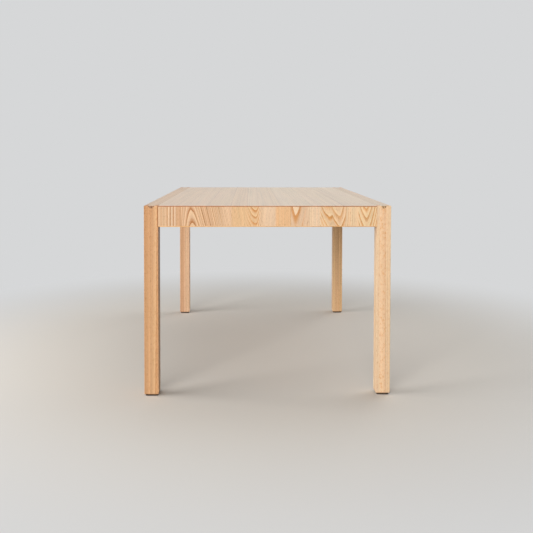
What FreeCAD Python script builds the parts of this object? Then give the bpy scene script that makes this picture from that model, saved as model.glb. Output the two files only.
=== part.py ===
import FreeCAD, Part
import os
import re

import Sketcher
from FreeCAD import Placement, Rotation, Vector

# A dining table: four square legs that run up to the top surface, two solid side rails whose tongues
# lie in the heads of the legs, two end aprons with upright veneer, and a veneered panel between them.
# The origin lies on the floor under the middle of the top. X runs across the table, Y along it.

os.makedirs("parts", exist_ok=True)
doc = FreeCAD.newDocument("DiningTable")

# Driving dimensions in millimetres
sizes = {
    "table_length": 1500,
    "table_width": 950,
    "table_height": 735,
    "leg_side": 55,
    "frame_depth": 81,
    "arris_radius": 1.2,
    "foot_chamfer": 2.5,
    "face_thickness": 3.5,
    "core_thickness": 22,
    "backing_thickness": 3.5,
    "apron_core_thickness": 25,
    "apron_face_thickness": 3,
    "lipping_thickness": 3.5,
    "tongue_top_width": 26,
    "tongue_bottom_width": 8,
    "tongue_depth": 10,
    "dowel_diameter": 10,
    "dowel_length": 50,
    "dowel_chamfer": 1,
    "dowel_hole_spare": 1,
    "dowel_rise": 13,
    "dowel_head_margin": 30,
    "cleat_side": 20,
    "cleat_bevel": 2,
    "cleat_end_gap": 6,
    "brace_width": 40,
    "brace_rise": 4,
    "brace_spacing": 500,
    "brace_screw_wood": 20,
    "counterbore_diameter": 11,
    "bracket_rise": 4,
    "bracket_head_gap": 4,
    "bracket_thickness": 2,
    "bracket_flange": 32,
    "bracket_bend_radius": 3,
    "bracket_standoff": 28,
    "bracket_screw_margin": 10,
    "bolt_flat": 9,
    "bolt_diameter": 8,
    "bolt_grip": 30,
    "bolt_point": 5,
    "bolt_spare": 5,
    "bolt_clearance": 0.6,
    "washer_diameter": 20,
    "washer_thickness": 1.6,
    "nut_across_flats": 13,
    "nut_thickness": 6.5,
    "cleat_screw_diameter": 4,
    "cleat_screw_length": 39,
    "cleat_screw_head": 8,
    "bracket_screw_diameter": 4.5,
    "bracket_screw_length": 18,
    "bracket_screw_head": 8.5,
    "bracket_screw_dome": 2.6,
    "pad_screw_diameter": 3.5,
    "pad_screw_length": 18,
    "pad_screw_head": 7,
    "pad_screw_recess": 2.2,
    "pad_thickness": 6,
    "pad_inset": 4,
    "pad_corner_radius": 4,
    "pad_bevel": 1,
    "drive_width": 1.1,
    "drive_span": 4.4,
    "drive_depth": 1.2,
    "rail_cleat_screw_margin": 65,
    "apron_cleat_screw_margin": 50,
    "panel_screw_margin": 110,
    "brace_screw_margin": 100,
}

# How many fasteners stand in each row
rail_cleat_screw_count = 6
apron_cleat_screw_count = 4
rail_panel_screw_count = 4
apron_panel_screw_count = 3
brace_screw_count = 3

sheet = doc.addObject("Spreadsheet::Sheet", "Sizes")
for row, (alias, value) in enumerate(sizes.items(), start=1):
    sheet.set(f"A{row}", alias)
    sheet.set(f"B{row}", str(value))
    sheet.setAlias(f"B{row}", alias)
doc.recompute()

# Places worked out from the driving dimensions, written as formulas
side_x = "(-table_width / 2)"
end_y = "(-table_length / 2)"
frame_bottom = "(table_height - frame_depth)"
leg_rise = "(table_height - pad_thickness)"
rail_length = "(table_length - 2 * leg_side)"
apron_length = "(table_width - 2 * leg_side)"
apron_thickness = "(apron_core_thickness + apron_face_thickness)"
apron_core_height = "(frame_depth - face_thickness - lipping_thickness)"
panel_length = f"(table_length - 2 * {apron_thickness})"
panel_underside = "(table_height - face_thickness - core_thickness - backing_thickness)"
frame_room = f"({panel_underside} - {frame_bottom})"
inner_x = f"({side_x} + leg_side)"
inner_y = f"({end_y} + {apron_thickness})"
web_sum = "(2 * leg_side - bolt_flat + sqrt(2) * bracket_standoff)"
rail_bend = f"({web_sum} - leg_side)"
apron_bend = f"({web_sum} - {apron_thickness})"
bend_shift = "(bracket_thickness * (sqrt(2) - 1))"
bracket_bottom = f"({frame_bottom} + bracket_rise)"
bracket_height = f"({frame_room} - bracket_rise - bracket_head_gap)"
bracket_screw_lift = f"({bracket_height} / 2 - bracket_screw_margin)"
bolt_height = f"({bracket_bottom} + {bracket_height} / 2)"
flat_reach = "((2 * leg_side - bolt_flat) / sqrt(2))"
web_reach = f"({web_sum} / sqrt(2))"
bolt_length = (
    "(bolt_grip + bracket_standoff + bracket_thickness + washer_thickness + nut_thickness + bolt_spare)"
)
rail_cleat_start = f"({end_y} + {rail_bend} + bracket_flange + cleat_end_gap)"
apron_cleat_start = f"({side_x} + {apron_bend} + bracket_flange + cleat_end_gap)"
rail_cleat_length = f"(-2 * {rail_cleat_start})"
apron_cleat_length = f"(-2 * {apron_cleat_start})"
cleat_bottom = f"({panel_underside} - cleat_side)"
brace_bottom = f"({frame_bottom} + brace_rise)"
brace_depth = f"({frame_room} - brace_rise)"
brace_end_depth = f"({brace_depth} - cleat_side)"

# The dowels' heights over the frame's underside
dowel_rises = ("dowel_rise", "(frame_depth - dowel_head_margin)")

# How a fastener that points down its own Z axis is turned to be driven
drive_up = Rotation(Vector(1, 0, 0), 180)
drive_to_side = Rotation(Vector(0, 0, -1), Vector(-1, 0, 0))
drive_to_end = Rotation(Vector(0, 0, -1), Vector(0, -1, 0))
along_x = Rotation(Vector(0, 0, 1), Vector(1, 0, 0))
along_y = Rotation(Vector(0, 0, 1), Vector(0, 1, 0))
along_diagonal = Rotation(Vector(0, 0, 1), Vector(1, 1, 0))

# How near an edge must lie to a place, as a share of its length, to count as lying there
nearness_share = 1e-6

pieces = {}


def formula(text):
    """Point each size's name in the text at its cell."""
    def cell(word):
        name = word.group()
        return f"Sizes.{name}" if name in sizes else name

    return re.sub(r"[a-z_]+", cell, text)


def number(text):
    return float(sheet.evalExpression(formula(text)))


def bind(item, field, text):
    item.setExpression(field, formula(text))


def place(item, x="0", y="0", z="0", turn=None):
    if turn is not None:
        item.Placement = Placement(Vector(), turn)
    for axis, text in zip("xyz", (x, y, z)):
        bind(item, f"Placement.Base.{axis}", text)


def new_body(name):
    return doc.addObject("PartDesign::Body", name)


def sketch_on(body, role, offset="0"):
    """A sketch on one of the body's own planes, moved along that plane's normal."""
    plane = next(item for item in body.Origin.OriginFeatures if item.Role == role)
    sketch = body.newObject("Sketcher::SketchObject", f"{body.Name}_outline")
    sketch.AttachmentSupport = (plane, [""])
    sketch.MapMode = "FlatFace"
    bind(sketch, "AttachmentOffset.Base.z", offset)
    return sketch


def hold_point(sketch, edge, vertex, x, y):
    for kind, text, axis in (("DistanceX", x, -2), ("DistanceY", y, -1)):
        if text == "0":
            sketch.addConstraint(Sketcher.Constraint("PointOnObject", edge, vertex, axis))
        else:
            index = sketch.addConstraint(Sketcher.Constraint(kind, -1, 1, edge, vertex, number(text)))
            bind(sketch, f"Constraints[{index}]", text)


def outline(sketch, corners):
    """A closed outline of straight lines, each corner held by two formulas."""
    first = sketch.GeometryCount
    count = len(corners)
    points = [Vector(number(x), number(y), 0) for x, y in corners]
    for index in range(count):
        sketch.addGeometry(Part.LineSegment(points[index], points[(index + 1) % count]), False)
    for index in range(count):
        following = first + (index + 1) % count
        sketch.addConstraint(Sketcher.Constraint("Coincident", first + index, 2, following, 1))
    for index, (x, y) in enumerate(corners):
        hold_point(sketch, first + index, 1, x, y)


def rectangle(sketch, width, height):
    outline(sketch, [("0", "0"), (width, "0"), (width, height), ("0", height)])


def circle(sketch, x, y, diameter):
    centre = Vector(number(x), number(y), 0)
    edge = sketch.addGeometry(Part.Circle(centre, Vector(0, 0, 1), number(diameter) / 2), False)
    index = sketch.addConstraint(Sketcher.Constraint("Diameter", edge, number(diameter)))
    bind(sketch, f"Constraints[{index}]", diameter)
    hold_point(sketch, edge, 3, x, y)


def pad(body, sketch, length, backwards=False):
    feature = body.newObject("PartDesign::Pad", f"{body.Name}_pad")
    feature.Profile = sketch
    feature.Reversed = backwards
    bind(feature, "Length", length)
    sketch.Visibility = False
    doc.recompute()
    return feature


def pocket(body, sketch, depth=None, backwards=False):
    """A cut to a depth, or right through, that must take some wood away."""
    before = body.Shape.Volume
    feature = body.newObject("PartDesign::Pocket", f"{body.Name}_pocket")
    feature.Profile = sketch
    feature.Reversed = backwards
    if depth is None:
        feature.Type = "ThroughAll"
    else:
        bind(feature, "Length", depth)
    doc.recompute()
    if not body.Shape.Volume < before:
        raise RuntimeError(f"{body.Label}: a pocket took nothing away")
    return feature


def revolve(body, sketch):
    feature = body.newObject("PartDesign::Revolution", f"{body.Name}_turned")
    feature.Profile = sketch
    feature.ReferenceAxis = (sketch, ["V_Axis"])
    feature.Angle = 360
    doc.recompute()
    return feature


def edges_at(feature, x=None, y=None, z=None):
    """Names of the straight edges that lie at the given places, each a formula or None for any."""
    wanted = [None if text is None else number(text) for text in (x, y, z)]
    names = []
    for index, edge in enumerate(feature.Shape.Edges, start=1):
        ends = [vertex.Point for vertex in edge.Vertexes]
        if len(ends) != 2 or edge.Curve.TypeId != "Part::GeomLine":
            continue
        near = edge.Length * nearness_share
        if all(
            spot is None or all(abs(end[axis] - spot) < near for end in ends)
            for axis, spot in enumerate(wanted)
        ):
            names.append(f"Edge{index}")
    return names


def dress(body, kind, base, names, size):
    """Round or chamfer named edges of a feature."""
    feature = body.newObject(f"PartDesign::{kind}", f"{body.Name}_{kind.lower()}")
    feature.Base = (base, names)
    bind(feature, "Radius" if kind == "Fillet" else "Size", size)
    doc.recompute()
    return feature


def copy_of(master, x="0", y="0", z="0", turn=None):
    link = doc.addObject("App::Link", f"{master.Name}_copy")
    link.LinkedObject = master
    place(link, x, y, z, turn)
    return link


def group_of(name, members):
    group = doc.addObject("Part::Compound", name)
    group.Links = members
    doc.recompute()
    return group


def standing(name, master, spots):
    """Copies of a master piece at each spot, a spot being three formulas and a turn."""
    return group_of(name, [copy_of(master, *spot) for spot in spots])


def mirrored(source, name, normal):
    mirror = doc.addObject("Part::Mirroring", name)
    mirror.Source = source
    mirror.Normal = normal
    doc.recompute()
    return mirror


def across(source, name):
    return mirrored(source, name, Vector(1, 0, 0))


def along(source, name):
    return mirrored(source, name, Vector(0, 1, 0))


def bored(name, blank, tools):
    """A piece with the space of its fasteners taken out of it."""
    cut = doc.addObject("Part::Cut", name)
    cut.Base = blank
    cut.Tool = tools[0] if len(tools) == 1 else group_of(f"{name}_tools", tools)
    doc.recompute()
    return cut


def keep(name, piece):
    piece.Label = name
    pieces[name] = piece
    return piece


def keep_four(stem, piece):
    """The front left piece and its three mirror images."""
    keep(f"{stem}_front_left", piece)
    right = keep(f"{stem}_front_right", across(piece, f"{stem}_front_right"))
    keep(f"{stem}_rear_left", along(piece, f"{stem}_rear_left"))
    keep(f"{stem}_rear_right", along(right, f"{stem}_rear_right"))


def keep_sides(stem, piece):
    keep(f"{stem}_left", piece)
    return keep(f"{stem}_right", across(piece, f"{stem}_right"))


def keep_ends(stem, piece):
    keep(f"{stem}_front", piece)
    return keep(f"{stem}_rear", along(piece, f"{stem}_rear"))


def spread(start, span, margin, count):
    """Formulas for the places of an even row that keeps a margin at both ends."""
    step = f"({span} - 2 * {margin}) / {count - 1}"
    return [f"{start} + {margin} + {index} * {step}" for index in range(count)]


def cross_recess(body, top):
    """A cross-shaped driver recess sunk from the top of a head."""
    for width, height in (("drive_span", "drive_width"), ("drive_width", "drive_span")):
        sketch = sketch_on(body, "XY_Plane", top)
        left, bottom = f"-{width} / 2", f"-{height} / 2"
        right, upper = f"{width} / 2", f"{height} / 2"
        outline(sketch, [(left, bottom), (right, bottom), (right, upper), (left, upper)])
        pocket(body, sketch, "drive_depth")


def countersunk_blank(name, diameter, length, head):
    """The turned form of a flat-headed wood screw, its head's top at the origin and its point down."""
    body = new_body(name)
    shank, rim = f"{diameter} / 2", f"{head} / 2"
    sketch = sketch_on(body, "XZ_Plane")
    outline(sketch, [
        ("0", "0"),
        (rim, "0"),
        (shank, f"{shank} - {rim}"),
        (shank, f"{diameter} - {length}"),
        ("0", f"-{length}"),
    ])
    revolve(body, sketch)
    return body


def countersunk_screw(name, diameter, length, head):
    body = countersunk_blank(name, diameter, length, head)
    cross_recess(body, "0")
    return body


def pan_head_screw(name, diameter, length, head, dome):
    """A wood screw with a raised head that stands on the origin's plane."""
    body = new_body(name)
    shank, rim = f"{diameter} / 2", f"{head} / 2"
    sketch = sketch_on(body, "XZ_Plane")
    outline(sketch, [
        ("0", dome),
        (f"{rim} - {dome} / 2", dome),
        (rim, f"{dome} / 2"),
        (rim, "0"),
        (shank, "0"),
        (shank, f"{diameter} - {length}"),
        ("0", f"-{length}"),
    ])
    revolve(body, sketch)
    cross_recess(body, dome)
    return body


def dowel():
    """A round pin with chamfered ends, lying from the origin up its own Z axis."""
    body = new_body("dowel")
    rim = "dowel_diameter / 2"
    sketch = sketch_on(body, "XZ_Plane")
    outline(sketch, [
        ("0", "0"),
        (f"{rim} - dowel_chamfer", "0"),
        (rim, "dowel_chamfer"),
        (rim, "dowel_length - dowel_chamfer"),
        (f"{rim} - dowel_chamfer", "dowel_length"),
        ("0", "dowel_length"),
    ])
    revolve(body, sketch)
    return body


def hanger_bolt():
    """A headless bolt whose point goes into the leg, lying up its own Z axis from the point."""
    body = new_body("hanger_bolt")
    rim = "bolt_diameter / 2"
    sketch = sketch_on(body, "XZ_Plane")
    outline(sketch, [
        ("0", "0"),
        (rim, "bolt_point"),
        (rim, f"{bolt_length} - dowel_chamfer"),
        (f"{rim} - dowel_chamfer", bolt_length),
        ("0", bolt_length),
    ])
    revolve(body, sketch)
    return body


def washer():
    body = new_body("washer")
    sketch = sketch_on(body, "XY_Plane")
    circle(sketch, "0", "0", "washer_diameter")
    circle(sketch, "0", "0", "bolt_diameter + bolt_clearance")
    pad(body, sketch, "washer_thickness")
    return body


def nut():
    """A six-sided nut, standing on the origin's plane."""
    body = new_body("nut")
    sketch = sketch_on(body, "XY_Plane")
    corners = []
    for index in range(6):
        turn = index * 60
        reach = "nut_across_flats / sqrt(3)"
        corners.append((f"{reach} * cos({turn})", "0" if turn % 180 == 0 else f"{reach} * sin({turn})"))
    outline(sketch, corners)
    circle(sketch, "0", "0", "bolt_diameter")
    pad(body, sketch, "nut_thickness")
    return body


def leg_blank():
    """A square leg with its foot chamfered, its arrises eased, and the joints cut in its head."""
    body = new_body("leg_blank")
    sketch = sketch_on(body, "XY_Plane")
    rectangle(sketch, "leg_side", "leg_side")
    post = pad(body, sketch, leg_rise)
    foot = dress(body, "Chamfer", post, edges_at(post, z="0"), "foot_chamfer")
    eased = []
    for x in ("0", "leg_side"):
        for y in ("0", "leg_side"):
            eased += edges_at(foot, x=x, y=y)
    eased += edges_at(foot, x="0", z=leg_rise)
    eased += edges_at(foot, y="0", z=leg_rise)
    dress(body, "Fillet", foot, eased, "arris_radius")

    # The open slot across the head for the rail's tongue
    slot = sketch_on(body, "XZ_Plane")
    tongue_outline(slot, leg_rise)
    pocket(body, slot)

    # The flat on the inner corner that the bolt is driven through
    flat = sketch_on(body, "XY_Plane", f"{leg_rise} - frame_depth + {frame_room}")
    outline(flat, [
        ("leg_side", "leg_side"),
        ("leg_side - bolt_flat", "leg_side"),
        ("leg_side", "leg_side - bolt_flat"),
    ])
    pocket(body, flat, frame_room)

    depth = "dowel_length / 2 + dowel_hole_spare"
    apron_side = sketch_on(body, "YZ_Plane", "leg_side")
    rail_side = sketch_on(body, "XZ_Plane", "-leg_side")
    for rise in dowel_rises:
        height = f"{leg_rise} - frame_depth + {rise}"
        circle(apron_side, "apron_face_thickness + apron_core_thickness / 2", height, "dowel_diameter")
        circle(rail_side, "leg_side / 2", height, "dowel_diameter")
    pocket(body, apron_side, depth)
    pocket(body, rail_side, depth, backwards=True)
    place(body, side_x, end_y, "pad_thickness")
    return body


def tongue_outline(sketch, top):
    """The tongue's section, wider at the top surface than at its bottom."""
    outline(sketch, [
        ("leg_side / 2 - tongue_bottom_width / 2", f"{top} - tongue_depth"),
        ("leg_side / 2 + tongue_bottom_width / 2", f"{top} - tongue_depth"),
        ("leg_side / 2 + tongue_top_width / 2", top),
        ("leg_side / 2 - tongue_top_width / 2", top),
    ])


def rail_blank():
    """A solid side rail with a tongue at each end that lies in the leg's head."""
    body = new_body("rail_blank")
    section = sketch_on(body, "XZ_Plane")
    rectangle(section, "leg_side", "frame_depth")
    beam = pad(body, section, rail_length, backwards=True)
    eased = edges_at(beam, x="0", z="frame_depth")
    eased += edges_at(beam, x="0", z="0")
    eased += edges_at(beam, x="leg_side", z="0")
    dress(body, "Fillet", beam, eased, "arris_radius")

    near_tongue = sketch_on(body, "XZ_Plane")
    tongue_outline(near_tongue, "frame_depth")
    pad(body, near_tongue, "leg_side")
    far_tongue = sketch_on(body, "XZ_Plane", f"-{rail_length}")
    tongue_outline(far_tongue, "frame_depth")
    tongues = pad(body, far_tongue, "leg_side", backwards=True)
    tips = edges_at(tongues, y="-leg_side", z="frame_depth")
    tips += edges_at(tongues, y=f"{rail_length} + leg_side", z="frame_depth")
    dress(body, "Fillet", tongues, tips, "arris_radius")

    # The relief at each inner corner that the bolt passes through
    relief = sketch_on(body, "XY_Plane")
    for end, step in (("0", "bolt_flat"), (rail_length, f"{rail_length} - bolt_flat")):
        outline(relief, [("leg_side", end), ("leg_side - bolt_flat", end), ("leg_side", step)])
    pocket(body, relief, frame_room, backwards=True)

    depth = "dowel_length / 2 + dowel_hole_spare"
    near_end = sketch_on(body, "XZ_Plane")
    far_end = sketch_on(body, "XZ_Plane", f"-{rail_length}")
    for rise in dowel_rises:
        circle(near_end, "leg_side / 2", rise, "dowel_diameter")
        circle(far_end, "leg_side / 2", rise, "dowel_diameter")
    pocket(body, near_end, depth)
    pocket(body, far_end, depth, backwards=True)

    inner_side = sketch_on(body, "YZ_Plane", "leg_side")
    for shift in ("- brace_spacing / 2", "+ brace_spacing / 2"):
        rise = f"{brace_bottom} + {brace_end_depth} / 2 - {frame_bottom}"
        circle(inner_side, f"{rail_length} / 2 {shift}", rise, "dowel_diameter")
    pocket(body, inner_side, depth)
    place(body, side_x, f"{end_y} + leg_side", frame_bottom)
    return body


def apron_core_blank():
    """The core of the front apron, drilled at both ends for its dowels."""
    body = new_body("apron_core_blank")
    plan = sketch_on(body, "XY_Plane")
    rectangle(plan, apron_length, "apron_core_thickness")
    pad(body, plan, apron_core_height)
    depth = "dowel_length / 2 + dowel_hole_spare"
    for offset, backwards in (("0", True), (apron_length, False)):
        end = sketch_on(body, "YZ_Plane", offset)
        for rise in dowel_rises:
            circle(end, "apron_core_thickness / 2", f"{rise} - lipping_thickness", "dowel_diameter")
        pocket(body, end, depth, backwards)
    place(body, inner_x, f"{end_y} + apron_face_thickness", f"{frame_bottom} + lipping_thickness")
    return body


def apron_face():
    """The sheet of upright veneer on the front of the apron."""
    body = new_body("apron_face_front")
    front = sketch_on(body, "XZ_Plane")
    rectangle(front, apron_length, apron_core_height)
    pad(body, front, "apron_face_thickness", backwards=True)
    place(body, inner_x, end_y, f"{frame_bottom} + lipping_thickness")
    return body


def apron_lipping():
    """The strip along the apron's bottom edge, with both lower arrises eased."""
    body = new_body("apron_lipping_front")
    plan = sketch_on(body, "XY_Plane")
    rectangle(plan, apron_length, apron_thickness)
    strip = pad(body, plan, "lipping_thickness")
    eased = edges_at(strip, y="0", z="0") + edges_at(strip, y=apron_thickness, z="0")
    dress(body, "Fillet", strip, eased, "arris_radius")
    place(body, inner_x, end_y, frame_bottom)
    return body


def panel_layer(name, thickness, bottom, length, start):
    """One layer of the panel, which fills the width between the rails."""
    body = new_body(name)
    plan = sketch_on(body, "XY_Plane")
    rectangle(plan, apron_length, length)
    pad(body, plan, thickness)
    place(body, inner_x, start, bottom)
    return body


def top_face():
    """The top lamella, which runs over the aprons and shows its end grain at both ends."""
    bottom = "table_height - face_thickness"
    body = panel_layer("top_face", "face_thickness", bottom, "table_length", end_y)
    layer = body.Tip
    eased = edges_at(layer, y="0", z="face_thickness")
    eased += edges_at(layer, y="table_length", z="face_thickness")
    dress(body, "Fillet", layer, eased, "arris_radius")
    return body


def cleat(name, length, lengthwise):
    """A square strip under the panel's edge, bevelled along its free lower arris."""
    body = new_body(name)
    corners = [
        ("0", "0"),
        ("cleat_side - cleat_bevel", "0"),
        ("cleat_side", "cleat_bevel"),
        ("cleat_side", "cleat_side"),
        ("0", "cleat_side"),
    ]
    section = sketch_on(body, "XZ_Plane" if lengthwise else "YZ_Plane")
    outline(section, corners)
    pad(body, section, length, backwards=lengthwise)
    return body


def cross_brace_blank():
    """A cross brace, notched over the cleats and counterbored from below."""
    body = new_body("cross_brace_blank")
    side = sketch_on(body, "XZ_Plane")
    outline(side, [
        ("0", "0"),
        (apron_length, "0"),
        (apron_length, brace_end_depth),
        (f"{apron_length} - cleat_side", brace_end_depth),
        (f"{apron_length} - cleat_side", brace_depth),
        ("cleat_side", brace_depth),
        ("cleat_side", brace_end_depth),
        ("0", brace_end_depth),
    ])
    bar = pad(body, side, "brace_width", backwards=True)
    eased = edges_at(bar, y="0", z="0") + edges_at(bar, y="brace_width", z="0")
    dress(body, "Fillet", bar, eased, "arris_radius")

    depth = "dowel_length / 2 + dowel_hole_spare"
    for offset, backwards in (("0", True), (apron_length, False)):
        end = sketch_on(body, "YZ_Plane", offset)
        circle(end, "brace_width / 2", f"{brace_end_depth} / 2", "dowel_diameter")
        pocket(body, end, depth, backwards)
    wells = sketch_on(body, "XY_Plane")
    for x in spread("0", apron_length, "brace_screw_margin", brace_screw_count):
        circle(wells, x, "brace_width / 2", "counterbore_diameter")
    pocket(body, wells, f"{brace_depth} - brace_screw_wood", backwards=True)
    place(body, inner_x, "-brace_spacing / 2 - brace_width / 2", brace_bottom)
    return body


def bracket_blank():
    """A bent steel plate across the inner corner, with a flange on the rail and one on the apron."""
    body = new_body("bracket_blank")
    plan = sketch_on(body, "XY_Plane")
    rail_end = f"{rail_bend} + bracket_flange"
    apron_end = f"{apron_bend} + bracket_flange"
    outline(plan, [
        ("leg_side", rail_end),
        ("leg_side", rail_bend),
        (apron_bend, apron_thickness),
        (apron_end, apron_thickness),
        (apron_end, f"{apron_thickness} + bracket_thickness"),
        (f"{apron_bend} + {bend_shift}", f"{apron_thickness} + bracket_thickness"),
        ("leg_side + bracket_thickness", f"{rail_bend} + {bend_shift}"),
        ("leg_side + bracket_thickness", rail_end),
    ])
    plate = pad(body, plan, bracket_height)
    inner = edges_at(plate, x="leg_side + bracket_thickness", y=f"{rail_bend} + {bend_shift}")
    inner += edges_at(plate, x=f"{apron_bend} + {bend_shift}", y=f"{apron_thickness} + bracket_thickness")
    bent = dress(body, "Fillet", plate, inner, "bracket_bend_radius")
    outer = edges_at(bent, x="leg_side", y=rail_bend)
    outer += edges_at(bent, x=apron_bend, y=apron_thickness)
    dress(body, "Fillet", bent, outer, "bracket_bend_radius + bracket_thickness")
    place(body, side_x, end_y, bracket_bottom)
    return body


def bolt_way():
    """The clearance hole for the bolt in the bracket's web."""
    way = doc.addObject("Part::Cylinder", "bolt_way")
    bind(way, "Radius", "(bolt_diameter + bolt_clearance) / 2")
    bind(way, "Height", "2 * washer_diameter")
    on_diagonal(way, f"{web_reach} - washer_diameter")
    return way


def on_diagonal(item, reach):
    """Stand an item on the diagonal of the front left corner, at a reach from the outer corner."""
    step = f"({reach}) / sqrt(2)"
    place(item, f"{side_x} + {step}", f"{end_y} + {step}", bolt_height, along_diagonal)


def foot_pad_blank():
    """A square foot pad with eased corners and a well for its screw's head."""
    body = new_body("foot_pad_blank")
    plan = sketch_on(body, "XY_Plane")
    side = "(leg_side - 2 * pad_inset)"
    rectangle(plan, side, side)
    block = pad(body, plan, "pad_thickness")
    corners = []
    for x in ("0", side):
        for y in ("0", side):
            corners += edges_at(block, x=x, y=y)
    rounded = dress(body, "Fillet", block, corners, "pad_corner_radius")
    rim = []
    for index, edge in enumerate(rounded.Shape.Edges, start=1):
        if edge.BoundBox.ZMax < number("pad_bevel"):
            rim.append(f"Edge{index}")
    dress(body, "Chamfer", rounded, rim, "pad_bevel")
    well = sketch_on(body, "XY_Plane")
    circle(well, f"{side} / 2", f"{side} / 2", "pad_screw_head")
    pocket(body, well, "pad_screw_recess", backwards=True)
    place(body, f"{side_x} + pad_inset", f"{end_y} + pad_inset", "0")
    return body


# Fasteners, and the plain forms that the wood is drilled with
cleat_screw_sizes = ("cleat_screw_diameter", "cleat_screw_length", "cleat_screw_head")
cleat_screw = countersunk_screw("cleat_screw", *cleat_screw_sizes)
cleat_screw_space = countersunk_blank("cleat_screw_space", *cleat_screw_sizes)
pad_screw_sizes = ("pad_screw_diameter", "pad_screw_length", "pad_screw_head")
pad_screw = countersunk_screw("pad_screw", *pad_screw_sizes)
pad_screw_space = countersunk_blank("pad_screw_space", *pad_screw_sizes)
bracket_screw = pan_head_screw(
    "bracket_screw",
    "bracket_screw_diameter",
    "bracket_screw_length",
    "bracket_screw_head",
    "bracket_screw_dome",
)
pin = dowel()

# Screws that hold the cleats to the rails and the aprons
cleat_middle = f"{cleat_bottom} + cleat_side / 2"
rail_cleat = (rail_cleat_start, rail_cleat_length)
apron_cleat = (apron_cleat_start, apron_cleat_length)
rail_cleat_spots = [
    (f"{inner_x} + cleat_side", y, cleat_middle, drive_to_side)
    for y in spread(*rail_cleat, "rail_cleat_screw_margin", rail_cleat_screw_count)
]
apron_cleat_spots = [
    (x, f"{inner_y} + cleat_side", cleat_middle, drive_to_end)
    for x in spread(*apron_cleat, "apron_cleat_screw_margin", apron_cleat_screw_count)
]
keep_sides("rail_cleat_screws", standing("rail_cleat_screws_left", cleat_screw, rail_cleat_spots))
keep_ends("apron_cleat_screws", standing("apron_cleat_screws_front", cleat_screw, apron_cleat_spots))
rail_cleat_spaces = standing("rail_cleat_spaces", cleat_screw_space, rail_cleat_spots)
apron_cleat_spaces = standing("apron_cleat_spaces", cleat_screw_space, apron_cleat_spots)

# Screws driven up into the panel through the cleats and the braces
rail_panel_spots = [
    (f"{inner_x} + cleat_side / 2", y, cleat_bottom, drive_up)
    for y in spread(*rail_cleat, "panel_screw_margin", rail_panel_screw_count)
]
apron_panel_spots = [
    (x, f"{inner_y} + cleat_side / 2", cleat_bottom, drive_up)
    for x in spread(*apron_cleat, "panel_screw_margin", apron_panel_screw_count)
]
brace_spots = [
    (x, "-brace_spacing / 2", f"{panel_underside} - brace_screw_wood", drive_up)
    for x in spread(inner_x, apron_length, "brace_screw_margin", brace_screw_count)
]


def panel_set(stem, master):
    """The screws of all four cleats."""
    by_rail = standing(f"{stem}_by_rail", master, rail_panel_spots)
    by_apron = standing(f"{stem}_by_apron", master, apron_panel_spots)
    return group_of(stem, [
        by_rail,
        across(by_rail, f"{stem}_by_far_rail"),
        by_apron,
        along(by_apron, f"{stem}_by_far_apron"),
    ])


def brace_set(stem, master):
    """The screws of both braces."""
    row = standing(f"{stem}_row", master, brace_spots)
    return group_of(stem, [row, along(row, f"{stem}_far_row")])


keep("panel_screws", panel_set("panel_screws", cleat_screw))
keep("brace_screws", brace_set("brace_screws", cleat_screw))
panel_spaces = panel_set("panel_spaces", cleat_screw_space)
brace_spaces = brace_set("brace_spaces", cleat_screw_space)

# Four screws for each corner bracket, two in the rail and two in the apron
corner_spots = []
for lift in (f"- {bracket_screw_lift}", f"+ {bracket_screw_lift}"):
    rail_flange_middle = f"{end_y} + {rail_bend} + bracket_flange / 2"
    apron_flange_middle = f"{side_x} + {apron_bend} + bracket_flange / 2"
    height = f"{bolt_height} {lift}"
    corner_spots.append((f"{inner_x} + bracket_thickness", rail_flange_middle, height, drive_to_side))
    corner_spots.append((apron_flange_middle, f"{inner_y} + bracket_thickness", height, drive_to_end))
keep_four("bracket_screws", standing("bracket_screws_front_left", bracket_screw, corner_spots))

# Dowels between legs, rails and aprons, and between braces and rails
apron_pin_spots = []
rail_pin_spots = []
for rise in dowel_rises:
    height = f"{frame_bottom} + {rise}"
    apron_middle = f"{end_y} + apron_face_thickness + apron_core_thickness / 2"
    rail_pin_start = f"{end_y} + leg_side - dowel_length / 2"
    apron_pin_spots.append((f"{inner_x} - dowel_length / 2", apron_middle, height, along_x))
    rail_pin_spots.append((f"{side_x} + leg_side / 2", rail_pin_start, height, along_y))
brace_pin_height = f"{brace_bottom} + {brace_end_depth} / 2"
brace_pin_spots = [(f"{inner_x} - dowel_length / 2", "-brace_spacing / 2", brace_pin_height, along_x)]
apron_pins = standing("apron_pins", pin, apron_pin_spots)
rail_pins = standing("rail_pins", pin, rail_pin_spots)
brace_pins = standing("brace_pins", pin, brace_pin_spots)
apron_pair = [apron_pins, across(apron_pins, "apron_pins_right")]
rail_pair = [rail_pins, along(rail_pins, "rail_pins_rear")]
brace_pair = [brace_pins, across(brace_pins, "brace_pins_right")]
keep_ends("apron_dowels", group_of("apron_dowels_front", apron_pair))
keep_sides("rail_dowels", group_of("rail_dowels_left", rail_pair))
keep_ends("brace_dowels", group_of("brace_dowels_front", brace_pair))

# The bolt, washer and nut that pull each leg into its corner
bolt = hanger_bolt()
on_diagonal(bolt, f"{flat_reach} - bolt_grip")
keep_four("leg_bolt", bolt)
bolt_washer = washer()
on_diagonal(bolt_washer, f"{web_reach} + bracket_thickness")
keep_four("bolt_washer", bolt_washer)
bolt_nut = nut()
on_diagonal(bolt_nut, f"{web_reach} + bracket_thickness + washer_thickness")
keep_four("bolt_nut", bolt_nut)

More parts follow.
